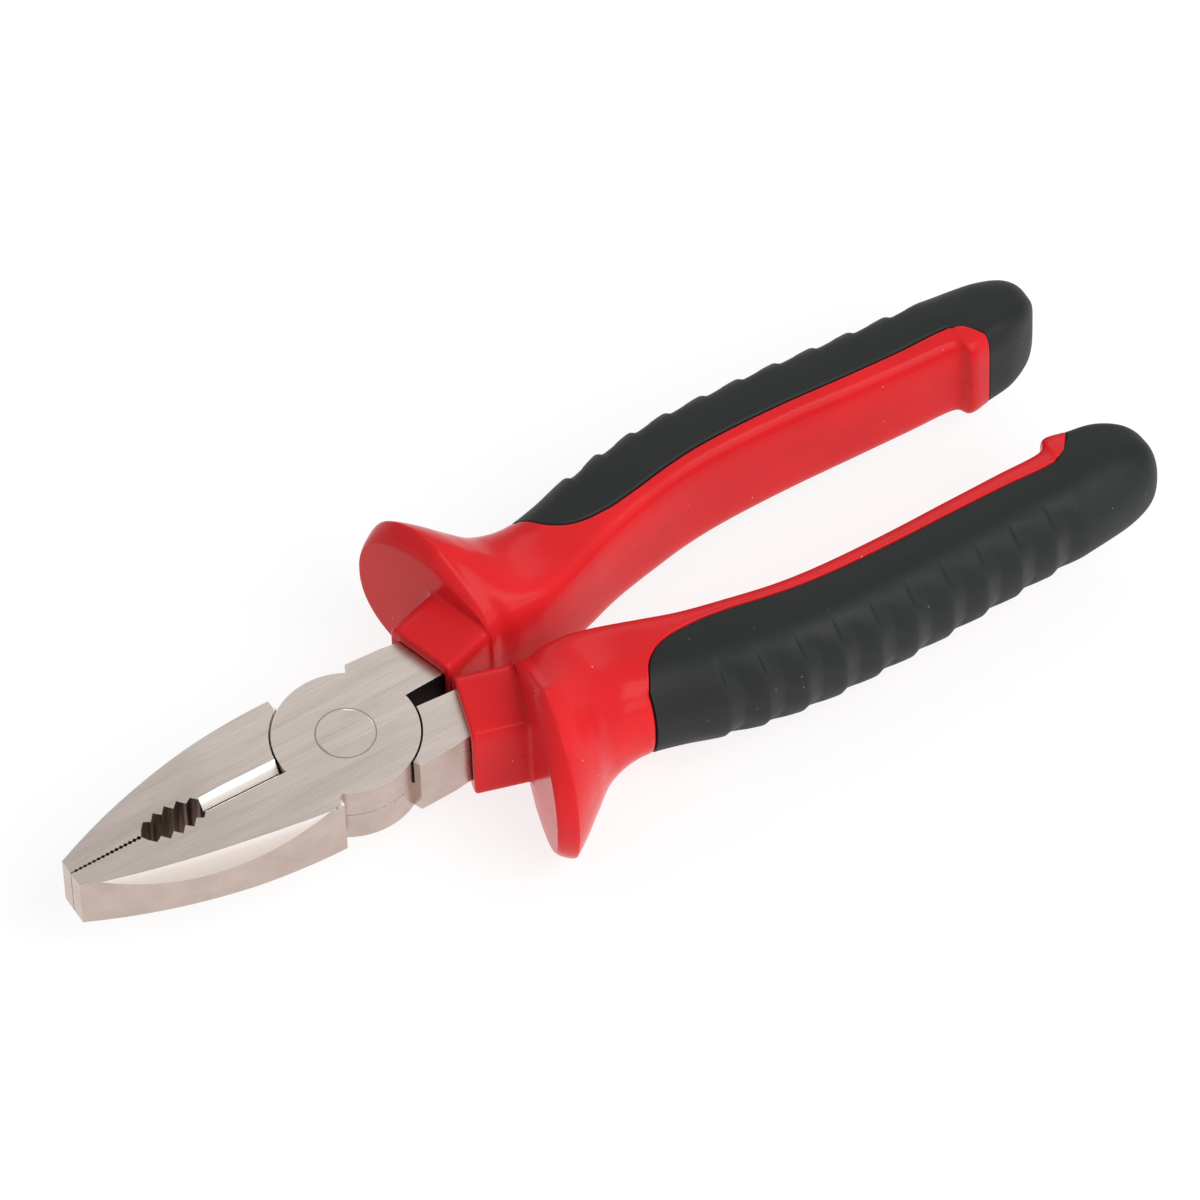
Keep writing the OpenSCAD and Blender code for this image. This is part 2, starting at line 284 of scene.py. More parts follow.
def place_at(rows, x):
    """The place along the rows whose middle is at x."""
    fine = np.linspace(0, len(rows) - 1, 2000)
    r = glide(rows, fine)
    middle = np.maximum.accumulate((r[:, 0] + r[:, 2]) / 2)
    return np.interp(x, middle, fine)


def bend(v, n):
    """The power n of the size of v, with v's sign."""
    return np.sign(v) * np.abs(v) ** n


def section(r, angles):
    """Points of one section at the angles, which count from the outer side over the top."""
    inner, outer = r[0:2], r[2:4]
    high, low = r[4], r[5]
    width = np.linalg.norm(outer - inner)
    centre = CENTRE * width
    c, s = np.cos(angles), np.sin(angles)
    outside = c > 0
    reach = np.where(outside, width - centre, centre)
    u = reach * bend(c, np.where(outside, r[6], r[7]))
    fall = np.where(outside, 0, (high - low) * np.abs(u) / reach)
    z = (high - fall) * bend(s, np.where(outside, r[6], r[8]))
    plan = inner + (centre + u)[:, None] * (outer - inner) / width
    return np.column_stack([plan, z])


def angle_of(r, across):
    """The angle on a section's top at which the skin is that far from the inner face."""
    width = np.linalg.norm(r[2:4] - r[0:2])
    centre = CENTRE * width
    if across >= centre:
        share = min(1.0, (across - centre) / (width - centre))
        return np.arccos(share ** (1 / r[6]))
    return np.arccos(-min(1.0, (centre - across) / centre) ** (1 / r[7]))


# Angles round a section, close together at the top and the bottom, where the skin moves fast
OFFSETS = pi / 2 * np.linspace(0, 1, 451) ** 3
DENSE = np.unique(np.concatenate(
    [quarter + way * OFFSETS for quarter in (-pi / 2, pi / 2) for way in (-1, 1)]))


def spaced(r, start, stop, count):
    """Points on a section between two angles, evenly spaced along it, and their angles."""
    curve = section(r, DENSE)
    run = np.concatenate([[0], np.cumsum(np.linalg.norm(np.diff(curve, axis=0), axis=1))])
    total = run[-1]
    # DENSE goes from -pi to pi: an angle past pi is one turn less there, and one turn further on
    ends = [np.interp((a + pi) % (2 * pi) - pi if abs(a) > pi else a, DENSE, run)
            for a in (start, stop)]
    if stop > pi:
        ends[1] += total
    at = np.linspace(ends[0], ends[1], count)
    wrapped = np.where(at > total, at - total, at)
    points = np.column_stack([np.interp(wrapped, run, curve[:, k]) for k in range(3)])
    return points, np.interp(wrapped, run, DENSE)


def smooth(t):
    """A step from 0 to 1 that starts and ends gently."""
    t = np.clip(t, 0, 1)
    return t * t * (3 - 2 * t)


# ---- the line between the red sleeve and the soft grip ----

STRIP_BACK = 12.8          # the red strip ends this far from the handle's end
GRIP_FRONT = 0.065         # the grip starts here, as a share of the way from neck to ledge
LINE_EASE = 0.16           # the line's corners are rounded over this much, in rows


def grip_line(s, rows):
    """Places along the handle, and how far the line is from the inner face at each."""
    neck, end = s.collar_x + NECK, s.length
    run = end - LEDGE - neck
    shares = [(GRIP_FRONT, 17.4), (0.0665, 15.6), (0.071, 13.6), (0.081, 11.4), (0.097, 9.3),
              (0.122, 7.2), (0.16, 5.4), (0.22, 3.9), (0.285, 3.4), (0.38, 3.3), (0.5, 3.4),
              (0.64, 3.5), (0.775, 3.6), (0.9, 3.8), (1, 4.2)]
    line = [(neck + f * run, w) for f, w in shares]
    line += [(end - 16.4, 6), (end - 15.2, 5.4), (end - 14.2, 3.8), (end - STRIP_BACK, 1.6)]
    x, w = np.array(line).T
    return place_at(rows, x), w


def line_angles(s, rows, places):
    """The angle of the line between sleeve and grip at each place."""
    at, across = grip_line(s, rows)
    sections = glide(rows, places)
    # The corners round the ledge stay sharp
    spread = np.linspace(-LINE_EASE, LINE_EASE, 9) * (places < LEDGE_ROW - 1)[:, None]
    widths = np.interp(places[:, None] + spread, at, across).mean(axis=1)
    return np.array([angle_of(r, w) for r, w in zip(sections, widths)])


# ---- meshes ----

def turned(points, side):
    """Millimetres about the head's middle to metres in the frame. Side b is side a turned over."""
    flip = 1 if side == "a" else -1
    out = points * np.array([1, flip, flip]) + np.array([0, 0, half_t])
    return out * MM


def grid_object(name, grid, side, loop, caps):
    """A mesh from a grid of points, closed round the loop, with its two ends capped if asked."""
    rows_n, cols = grid.shape[:2]
    points = turned(grid.reshape(-1, 3), side)
    index = np.arange(rows_n * cols).reshape(rows_n, cols)
    last = cols if loop else cols - 1
    faces = []
    for j in range(rows_n - 1):
        for k in range(last):
            k2 = (k + 1) % cols
            faces.append((index[j, k], index[j + 1, k], index[j + 1, k2], index[j, k2]))
    if caps[0]:
        faces.append(tuple(index[0]))
    if caps[1]:
        faces.append(tuple(index[-1][::-1]))
    mesh = bpy.data.meshes.new(name)
    mesh.from_pydata([tuple(p) for p in points], [], [tuple(int(i) for i in f) for f in faces])
    bm = bmesh.new()
    bm.from_mesh(mesh)
    bmesh.ops.remove_doubles(bm, verts=bm.verts, dist=SAME_POINT)
    bmesh.ops.dissolve_degenerate(bm, edges=bm.edges, dist=SAME_POINT / 2)
    bmesh.ops.recalc_face_normals(bm, faces=bm.faces)
    bm.to_mesh(mesh)
    bm.free()
    mesh.shade_smooth()
    obj = bpy.data.objects.new(name, mesh)
    bpy.context.scene.collection.objects.link(obj)
    return obj


def modifier(obj, name, kind, **settings):
    """Adds a modifier with its settings."""
    made = obj.modifiers.new(name, kind)
    for key, value in settings.items():
        setattr(made, key, value)
    return made


def grow(by):
    """Change of a section that makes it this much higher, above and below."""
    return np.array([0, 0, 0, 0, by, by, 0, 0, 0])


def core_direction(skin):
    """Unit vectors from each point towards the middle of its section."""
    middle = skin.mean(axis=1, keepdims=True)
    d = middle - skin
    return d / np.linalg.norm(d, axis=2, keepdims=True)


EDGE = 0.55                # radius of the collar's front edge
FILLET = 0.7               # radius between the collar and the guard
COVER_GAP = 0.04           # room between the sleeve and the grip over it
# How the grip covers a section of the sleeve: not at all, all but the inner strip, or all round
BARE, STRIP, CORE = range(3)


def sleeve_sections(s, rows, front, back):
    """Sections from the pocket's floor to the end of the core, and how each is covered."""
    turn = np.linspace(0, pi / 2, 5)
    # The pocket from its floor out, the collar's rounded front edge, its length and its fillet
    ahead = [pocket_row(s, depth) for depth in (5, 4.9, 0.35, 0.2)]
    ahead += [pocket_row(s, 0) + grow(-0.12)]
    ahead += [collar_row(s, EDGE * (1 - sin(t)), EDGE * (1 - cos(t))) for t in turn[::-1]]
    ahead += [collar_row(s, forward)
              for forward in np.linspace(EDGE + 0.4, s.collar_len - FILLET - 0.4, 6)]
    ahead += [collar_row(s, s.collar_len - FILLET * (1 - sin(t)), -FILLET * (1 - cos(t)))
              for t in turn]
    # The guard's face from its foot out, then the guard, the neck and up to the grip's edge
    ahead += [rows[0] + grow(-inset) for inset in (0.9, 0.45)]
    plain = np.concatenate([[0.03, 0.2], np.linspace(0.4, NECK_ROW, 48),
                            np.linspace(NECK_ROW + 0.08, front, 8)])
    ahead += list(glide(rows, plain))
    # The strip, with rows closest where the line between sleeve and grip turns most
    middle = np.concatenate([front + np.linspace(0.01, 0.34, 18),
                             np.linspace(front + 0.36, LEDGE_ROW - 0.1, 64),
                             np.linspace(LEDGE_ROW, back - 0.03, 26)])
    under = [(front, BARE), (front, STRIP), *((place, STRIP) for place in middle),
             (back, STRIP), (back, CORE), (back + 0.45, CORE)]
    places = np.array([front] * len(ahead) + [place for place, _ in under])
    sections = np.array(ahead + list(glide(rows, places[len(ahead):])))
    cover = [BARE] * len(ahead) + [kind for _, kind in under]
    return sections, line_angles(s, rows, places), cover


def sleeve_grid(s):
    """The sleeve's skin: pocket, collar, guard, neck, then the strip with the core beside it."""
    strip_n, outer_n = 64, 56
    rows = handle_rows(s)
    line_at = grip_line(s, rows)[0]
    sunk = s.grip_wall + COVER_GAP
    skin, depth = [], []
    for r, line, cover in zip(*sleeve_sections(s, rows, line_at[0], line_at[-1])):
        skin.append(np.vstack([spaced(r, line, 2 * pi - line, strip_n)[0],
                               spaced(r, -line, line, outer_n)[0]]))
        depth.append(np.concatenate([np.full(strip_n, sunk if cover == CORE else 0.0),
                                     np.full(outer_n, 0.0 if cover == BARE else sunk)]))
    skin, depth = np.array(skin), np.array(depth)
    return skin + depth[:, :, None] * core_direction(skin)


RIB_TIP = radians(78)      # each hollow ends this far up the section
RIB_FADE = radians(30)     # it fades out over this much
RIB_LEAN = radians(26)     # its rear edge ends lower than its front crease
RIB_ROUND = radians(22)    # below this its crests are round
RIB_SHARP = radians(46)    # above this they are sharp
# Where rows of the mesh cross a rib, as shares of its pitch: close together at its edges
RIB_ROWS = (0, 0.035, 0.08, 0.14, 0.24, 0.34, 0.43, 0.48, 0.54, 0.66, 0.8, 0.92)
# The last rows ahead of the strip's end, as distances from it
STRIP_END_ROWS = (0.9, 0.6, 0.35, 0.16, 0.05, 0.0)


def rib_profile(share, side):
    """Depth of a rib's hollow, 0 to 1, at a share of the pitch behind its crest. side is 1 on
    the outer side, where crests are round, and 0 higher up, where each starts with a sharp
    drop and has a small step up halfway."""
    round_at = [0, 0.08, 0.2, 0.34, 0.46, 0.5, 0.54, 0.66, 0.8, 0.92, 1]
    rounded = [0, 0.12, 0.44, 0.78, 0.98, 1, 0.92, 0.6, 0.28, 0.07, 0]
    sharp_at = [0, 0.04, 0.1, 0.25, 0.42, 0.48, 0.54, 0.72, 1]
    sharp = [0, 0.36, 0.64, 0.86, 1, 0.96, 0.66, 0.36, 0]
    return side * np.interp(share, round_at, rounded) + (1 - side) * np.interp(
        share, sharp_at, sharp)


def rib_hollows(ribs, along, angles):
    """Depth of the hollows at points this far along the grip and round its section."""
    share = (along - ribs.start) / ribs.pitch
    inside = (share >= 0) & (share <= ribs.count)
    side = smooth((RIB_SHARP - np.abs(angles)) / (RIB_SHARP - RIB_ROUND))
    dip = np.where(inside, rib_profile(share % 1.0, side), 0) * ribs.depth
    reach = RIB_TIP - RIB_LEAN * np.sqrt(share % 1.0)
    return dip * (1 - smooth((np.abs(angles) - reach + RIB_FADE) / RIB_FADE))


def grip_grid(s, ribs):
    """The grip's outer skin, from one side of the line over the outside to the other. Ahead of
    the strip's end the inner columns are gathered on the line, and behind it they close."""
    outer_n, inner_n = 48, 8
    rows = handle_rows(s)
    at = grip_line(s, rows)[0]
    front, back = float(at[0]), float(at[-1])
    # Rows ahead of the strip's end are placed by their length along the outer side
    fine = np.linspace(front, len(rows) - 1, 3000)
    outer_points = glide(rows, fine)[:, 2:4]
    run = np.concatenate([[0], np.cumsum(np.linalg.norm(np.diff(outer_points, axis=0), axis=1))])
    ribs_end = ribs.start + ribs.count * ribs.pitch
    total = float(np.interp(back, fine, run))
    lengths = np.concatenate([
        np.linspace(0, 2.2, 20), np.linspace(2.5, ribs.start - 0.5, 14),
        ribs.start + ribs.pitch * np.add.outer(np.arange(ribs.count), RIB_ROWS).ravel(),
        [ribs_end]])
    lengths = np.concatenate([lengths[lengths < total - 1.2],
                              total - np.array(STRIP_END_ROWS)])
    ahead = np.interp(lengths, run, fine)
    behind = np.linspace(back + 0.03, len(rows) - 1.0, 34)
    places = np.concatenate([ahead, [back], behind])
    closed = np.arange(len(places)) >= len(ahead)
    lines = line_angles(s, rows, np.minimum(places, back))
    skin, angles = [], []
    for r, line, shut in zip(glide(rows, places), lines, closed):
        outer, outer_a = spaced(r, -line, line, outer_n)
        gap = pi if shut else line
        left, left_a = spaced(r, -gap, -line, inner_n)
        right, right_a = spaced(r, line, gap, inner_n)
        skin.append(np.vstack([left[:-1], outer, right[1:]]))
        angles.append(np.concatenate([left_a[:-1], outer_a, right_a[1:]]))
    skin, angles = np.array(skin), np.array(angles)
    along = np.interp(places, fine, run)[:, None]
    skin = skin + rib_hollows(ribs, along, angles)[:, :, None] * core_direction(skin)
    # The end closes in two more rings, to a point a little behind the last row
    tip = skin[-1].mean(axis=0)
    end = [tip + (skin[-1] - tip) * f + np.array([0.12 * (1 - f), 0, 0]) for f in (0.5, 0.0)]
    return np.concatenate([skin, np.array(end)])


# ---- materials ----

def linear(hex_colour):
    """sRGB hex to a linear colour with alpha."""
    parts = [int(hex_colour[i:i + 2], 16) / 255 for i in (0, 2, 4)]
    return [c / 12.92 if c <= 0.04045 else ((c + 0.055) / 1.055) ** 2.4 for c in parts] + [1.0]


def node(tree, kind, inputs, stops=(), **settings):
    """Adds a node. Each input is a value, or the (node, output) that feeds it. A colour ramp
    also has (place, hex colour) stops."""
    made = tree.nodes.new("ShaderNode" + kind)
    for key, value in settings.items():
        setattr(made, key, value)
    for key, value in inputs.items():
        if isinstance(value, tuple) and isinstance(value[0], bpy.types.Node):
            tree.links.new(value[0].outputs[value[1]], made.inputs[key])
        else:
            made.inputs[key].default_value = value
    if stops:
        elements = made.color_ramp.elements
        while len(elements) < len(stops):
            elements.new(0.5)
        for element, (place, hex_colour) in zip(elements, stops):
            element.position = place
            element.color = linear(hex_colour)
    return made


def new_material(name):
    """An empty material's tree, with the object's own coordinates."""
    made = bpy.data.materials.new(name)
    made.use_nodes = True
    made.node_tree.nodes.clear()
    place = node(made.node_tree, "TexCoord", {})
    return made, made.node_tree, place


def per_mm(*spacing):
    """Pattern scale that gives features this far apart, in millimetres: one number, or three."""
    scales = tuple(1 / (s * MM) for s in spacing)
    return scales if len(scales) > 1 else scales[0]


def shade(hex_colour, factor):
    """A lighter or darker version of a hex colour."""
    parts = [min(255, round(int(hex_colour[i:i + 2], 16) * factor)) for i in (0, 2, 4)]
    return "%02X%02X%02X" % tuple(parts)


# Colours of small marks, and of painted highlight and painted shade, sRGB hex
BEVEL_HIGHLIGHT = "F3EEE9"           # painted highlight on the cutter's bevels
PIT = "7A6E66"             # pits in the plating
SLOT_SHADE = "2C2624"           # painted shade in the slot between the tangs
GRIME = "4A3F3A"           # in the joint line of the jaws
RIVET_LINE = "A4948A"      # round the rivet
DUST = "F0A8A0"            # on the sleeves
LINT = "8C9494"            # on the grips

# Where surfaces of the steel lie, in millimetres. X is from the pivot, and Y from the middle line
TEETH_BACK = -27.2         # all teeth are ahead of this
FINE_TEETH = -39.4, 0.6    # the fine teeth at the nose end at this X, and reach this far in Y
PIPE_TEETH = -38.7, 3.7    # the pipe grip's teeth start at this X, and reach this far in Y
NOSE_FACE = 0.5            # the nose's flat front face is within this of the tip
SLOT_X = 16.5, 6           # middle of the slot between the tangs, and half its length
SLOT_Y = 2.9               # half its width
PARTING_Y = 0.09           # half the width of the joint line of the jaws
RIVET_RIM = 0.13           # half the width of the line round the rivet
FACET_FALL = 4.5           # the facets reach this far down from the head's top


def steel_places(tree, place):
    """Masks of the steel's surfaces, each a node whose output is 1 there and 0 elsewhere."""
    facing = node(tree, "NewGeometry", {})
    face = node(tree, "SeparateXYZ", {"Vector": (facing, "True Normal")})
    lift = node(tree, "Math", {0: (face, "Z")}, operation="ABSOLUTE")
    at = node(tree, "SeparateXYZ", {"Vector": (place, "Object")})
    off_line = node(tree, "Math", {0: (at, "Y")}, operation="ABSOLUTE")
    # By slope: upright forged walls, which get painted shade and a painted warm reflection, sloped
    # facets, which get a painted highlight, and the steeper bevels of the cutter, which get a
    # painted highlight
    forged = node(tree, "MapRange", {"Value": (lift, "Value"), "From Min": 0.1,
                                     "From Max": 0.14, "To Min": 1.0, "To Max": 0.0})
    sloped = node(tree, "Math", {0: (lift, "Value"), 1: 0.9}, operation="LESS_THAN")
    steep = node(tree, "Math", {0: (lift, "Value"), 1: 0.6, 2: 0.22}, operation="COMPARE")
    # Any upright wall, by the shading normal, which turns gently over the eased edges
    side = node(tree, "SeparateXYZ", {"Vector": (place, "Normal")})
    upright = node(tree, "Math", {0: (side, "Z"), 1: (side, "Z")}, operation="MULTIPLY")
    wall = node(tree, "Math", {0: (upright, "Value"), 1: 0.2}, operation="LESS_THAN")
    # Walls of the teeth, which get painted shade: near the middle line, ahead of the cutter,
    # behind the nose's face
    ahead = node(tree, "Math", {0: (at, "X"), 1: TEETH_BACK * MM}, operation="LESS_THAN")
    behind_nose = node(tree, "Math", {0: (at, "X"), 1: head_box[0].x + NOSE_FACE * MM},
                       operation="GREATER_THAN")
    reach = node(tree, "MapRange", {
        "Value": (at, "X"), "From Min": FINE_TEETH[0] * MM, "From Max": PIPE_TEETH[0] * MM,
        "To Min": FINE_TEETH[1] * MM, "To Max": PIPE_TEETH[1] * MM})
    near = node(tree, "Math", {0: (off_line, "Value"), 1: (reach, "Result")},
                operation="LESS_THAN")
    teeth = wall
    for mask in (ahead, near, behind_nose):
        teeth = node(tree, "Math", {0: (teeth, "Value"), 1: (mask, "Value")},
                     operation="MULTIPLY")
    # Walls of the slot between the two tangs, which get painted shade
    slot_x = node(tree, "Math", {0: (at, "X"), 1: SLOT_X[0] * MM, 2: SLOT_X[1] * MM},
                  operation="COMPARE")
    slot_y = node(tree, "Math", {0: (off_line, "Value"), 1: SLOT_Y * MM},
                  operation="LESS_THAN")
    slot = wall
    for mask in (slot_x, slot_y):
        slot = node(tree, "Math", {0: (slot, "Value"), 1: (mask, "Value")},
                    operation="MULTIPLY")
    # The joint line of the jaws, and a ring at the rivet's edge
    touching = node(tree, "Math", {0: (off_line, "Value"), 1: PARTING_Y * MM},
                    operation="LESS_THAN")
    parting = node(tree, "Math", {0: (touching, "Value"), 1: (ahead, "Value")},
                   operation="MULTIPLY")
    plan = node(tree, "CombineXYZ", {"X": (at, "X"), "Y": (at, "Y")})
    from_axis = node(tree, "VectorMath", {0: (plan, "Vector")}, operation="LENGTH")
    ring = node(tree, "Math", {0: (from_axis, "Value"), 1: rivet_r * MM, 2: RIVET_RIM * MM},
                operation="COMPARE")
    # How high a point is over or under the head's middle, from the facets' foot to the top
    off_middle = node(tree, "Math", {0: (at, "Z"), 1: half_t * MM}, operation="SUBTRACT")
    from_middle = node(tree, "Math", {0: (off_middle, "Value")}, operation="ABSOLUTE")
    climb = node(tree, "MapRange", {
        "Value": (from_middle, "Value"), "From Min": (half_t - FACET_FALL) * MM,
        "From Max": half_t * MM})
    return SimpleNamespace(forged=forged, sloped=sloped, steep=steep, teeth=teeth, slot=slot,
                           parting=parting, ring=ring, climb=climb)


def belt_ground(tree, place, colour):
    """Colour of the faces ground on a belt, with the patterns of its lines and broad waves."""
    # Belt lines are about 0.1 mm apart and 15 mm long. They are drawn 0.22 mm apart, to show
    wander = node(tree, "TexNoise", {"Vector": (place, "Object"), "Scale": per_mm(14),
                                     "Detail": 2.0})
    offset = node(tree, "VectorMath", {0: (wander, "Color"), 1: (0.0, 0.8 * MM, 0.0)},
                  operation="MULTIPLY")
    moved = node(tree, "VectorMath", {0: (place, "Object"), 1: (offset, "Vector")},
                 operation="ADD")
    lines_at = node(tree, "Mapping", {"Vector": (moved, "Vector"),
                                      "Scale": per_mm(14, 0.22, 0.6)})
    lines = node(tree, "TexNoise", {"Vector": (lines_at, "Vector"), "Scale": 1.0,
                                    "Detail": 4.0, "Roughness": 0.62})
    broad_at = node(tree, "Mapping", {"Vector": (moved, "Vector"), "Scale": per_mm(26, 3.2, 5)})
    broad = node(tree, "TexNoise", {"Vector": (broad_at, "Vector"), "Scale": 1.0,
                                    "Detail": 3.0})
    tone = node(tree, "ValToRGB", {"Fac": (broad, "Fac")}, stops=[
        (0.35, shade(colour, 0.96)), (0.5, colour), (0.7, shade(colour, 1.03))])
    streak = node(tree, "ValToRGB", {"Fac": (lines, "Fac")},
                  stops=[(0.3, "F3F2F1"), (0.6, "FFFFFF")])
    ground = node(tree, "Mix", {"Factor": 0.4, "A": (tone, "Color"), "B": (streak, "Color")},
                  data_type="RGBA", blend_type="MULTIPLY")
    return ground, lines, broad


def plated_steel(colour, shaded_wall_colour, bright, teeth_shade):
    """Nickel plated tool steel, ground along the jaws on a belt: a warm satin metal whose fine
    lines run along the tool.
    Painted shade darkens the side walls, which also get a painted warm reflection, and the walls
    of the teeth and of the slot. Painted highlights brighten the facets and the cutter's bevels."""
    made, tree, place = new_material("nickel_plated_ground_steel")
    ground, lines, broad = belt_ground(tree, place, colour)
    where = steel_places(tree, place)
    # The jaws' facets are ground on a fine stone. Their colour is a painted highlight: pale along
    # the ridge, greyer lower down
    facet_highlight = node(tree, "ValToRGB", {"Fac": (where.climb, "Result")}, stops=[
        (0.0, shade(colour, 0.98)), (0.62, shade(colour, 1.05)), (0.95, bright)])
    # The side walls are painted darker and warmer than the top: painted shade, with a painted warm
    # reflection
    cloud = node(tree, "TexNoise", {"Vector": (place, "Object"), "Scale": per_mm(6),
                                    "Detail": 3.0})
    warm = node(tree, "ValToRGB", {"Fac": (cloud, "Fac")}, stops=[
        (0.3, shade(shaded_wall_colour, 0.96)), (0.5, shaded_wall_colour), (0.7, shade(shaded_wall_colour, 1.04))])
    # Small pits in the plating, about 0.35 mm across and 5 mm apart
    pits_at = node(tree, "TexVoronoi", {"Vector": (place, "Object"), "Scale": per_mm(4.6),
                                        "Randomness": 1.0})
    pits = node(tree, "MapRange", {"Value": (pits_at, "Distance"), "From Min": 0.025,
                                   "From Max": 0.05, "To Min": 1.0, "To Max": 0.0})
    # The walls of the teeth get painted shade, streaked by the broach
    broach_at = node(tree, "Mapping", {"Vector": (place, "Object"),
                                       "Scale": per_mm(0.5, 0.5, 9)})
    broach = node(tree, "TexNoise", {"Vector": (broach_at, "Vector"), "Scale": 1.0})
    streaked_teeth_shade = node(tree, "ValToRGB", {"Fac": (broach, "Fac")},
                stops=[(0.35, shade(teeth_shade, 0.75)), (0.65, shade(teeth_shade, 1.25))])
    # Each of these covers the ones before it. The facets and the cutter's bevels, which are honed,
    # get painted highlights, and the side walls painted shade and a painted warm reflection. Pits
    # mark the plating, the slot behind the joint gets painted shade, grime sits where the jaws
    # meet, a thin brown line shows where the rivet was pressed in and ground flush, and the walls
    # of the teeth get painted shade
    coloured = ground
    for mask, cover in (((where.sloped, "Value"), (facet_highlight, "Color")),
                        ((where.steep, "Value"), linear(BEVEL_HIGHLIGHT)),
                        ((where.forged, "Result"), (warm, "Color")),
                        ((pits, "Result"), linear(PIT)),
                        ((where.slot, "Value"), linear(SLOT_SHADE)),
                        ((where.parting, "Value"), linear(GRIME)),
                        ((where.ring, "Value"), linear(RIVET_LINE)),
                        ((where.teeth, "Value"), (streaked_teeth_shade, "Color"))):
        coloured = node(tree, "Mix", {"Factor": mask, "A": (coloured, "Result"), "B": cover},
                        data_type="RGBA")
    # Satin where plated, duller on the painted shade of the teeth and the slot and on the rivet's
    # line, and less metallic on the cutter's bevels, which makes their painted highlight show
    satin = node(tree, "MapRange", {"Value": (lines, "Fac"), "From Min": 0.3,
                                    "From Max": 0.75, "To Min": 0.25, "To Max": 0.37})
    teeth_shade_and_ring = node(tree, "Math", {0: (where.teeth, "Value"), 1: (where.ring, "Value")},
                  operation="MAXIMUM")
    shade_and_ring = node(tree, "Math", {0: (teeth_shade_and_ring, "Value"), 1: (where.slot, "Value")},
                operation="MAXIMUM")
    dull = node(tree, "Math", {0: (shade_and_ring, "Value"), 1: 0.5}, operation="MULTIPLY")
    rough = node(tree, "Math", {0: (satin, "Result"), 1: (dull, "Value")},
                 operation="MAXIMUM")
    metal = node(tree, "MapRange", {"Value": (where.steep, "Value"), "To Min": 1.0,
                                    "To Max": 0.6})
    # Lines under a micron deep, over waves of a few microns
    bump = node(tree, "Bump", {"Height": (lines, "Fac"), "Strength": 0.25,
                               "Distance": 0.003 * MM})
    waves = node(tree, "Bump", {"Height": (broad, "Fac"), "Strength": 0.3,
                                "Distance": 0.02 * MM, "Normal": (bump, "Normal")})
    shader = node(tree, "BsdfPrincipled", {
        "Base Color": (coloured, "Result"), "Metallic": (metal, "Result"),
        "Roughness": (rough, "Value"), "Normal": (waves, "Normal")})
    node(tree, "OutputMaterial", {"Surface": (shader, "BSDF")})
    return made


def moulded_red(colour):
    """Polypropylene moulded in a polished tool: a clear red gloss with a little orange peel,
    a fine witness line at mid height, and a few specks of dust."""
    made, tree, place = new_material("moulded_red_polypropylene")
    drift = node(tree, "TexNoise", {"Vector": (place, "Object"), "Scale": per_mm(18),
                                    "Detail": 2.0})
    tone = node(tree, "ValToRGB", {"Fac": (drift, "Fac")},
                stops=[(0.3, shade(colour, 0.96)), (0.7, shade(colour, 1.03))])
    specks_at = node(tree, "TexVoronoi", {"Vector": (place, "Object"),
                                          "Scale": per_mm(5.2), "Randomness": 1.0})
    specks = node(tree, "MapRange", {"Value": (specks_at, "Distance"), "From Min": 0.02,
                                     "From Max": 0.035, "To Min": 0.75, "To Max": 0.0})
    dusty = node(tree, "Mix", {"Factor": (specks, "Result"), "A": (tone, "Color"),
                               "B": linear(DUST)}, data_type="RGBA")
    # The tool's two halves meet at mid height, and leave a line 0.17 mm wide
    split = node(tree, "SeparateXYZ", {"Vector": (place, "Object")})
    off = node(tree, "Math", {0: (split, "Z"), 1: half_t * MM}, operation="SUBTRACT")
    away = node(tree, "Math", {0: (off, "Value")}, operation="ABSOLUTE")
    seam = node(tree, "MapRange", {"Value": (away, "Value"), "From Min": 0.03 * MM,
                                   "From Max": 0.14 * MM, "To Min": 1.0, "To Max": 0.0},
                interpolation_type="SMOOTHSTEP")
    seam_tone = node(tree, "Math", {0: (seam, "Result"), 1: 0.35}, operation="MULTIPLY")
    lined = node(tree, "Mix", {"Factor": (seam_tone, "Value"), "A": (dusty, "Result"),
                               "B": linear(shade(colour, 0.72))}, data_type="RGBA")
    # Orange peel is about 1.6 mm from crest to crest and at most 5 microns high
    peel = node(tree, "TexNoise", {"Vector": (place, "Object"), "Scale": per_mm(1.6),
                                   "Detail": 1.0})
    peel_bump = node(tree, "Bump", {"Height": (peel, "Fac"), "Strength": 0.5,
                                    "Distance": 0.01 * MM})
    seam_bump = node(tree, "Bump", {"Height": (seam, "Result"), "Strength": 0.8,
                                    "Distance": 0.04 * MM, "Normal": (peel_bump, "Normal")})
    rough = node(tree, "MapRange", {"Value": (drift, "Fac"), "From Min": 0.3, "From Max": 0.7,
                                    "To Min": 0.16, "To Max": 0.24})
    # The mirror part of the gloss is kept low, or the pale floor would turn the red to pink
    shader = node(tree, "BsdfPrincipled", {
        "Base Color": (lined, "Result"), "Roughness": (rough, "Result"), "IOR": 1.49,
        "Specular IOR Level": 0.09, "Normal": (seam_bump, "Normal")})
    node(tree, "OutputMaterial", {"Surface": (shader, "BSDF")})
    return made


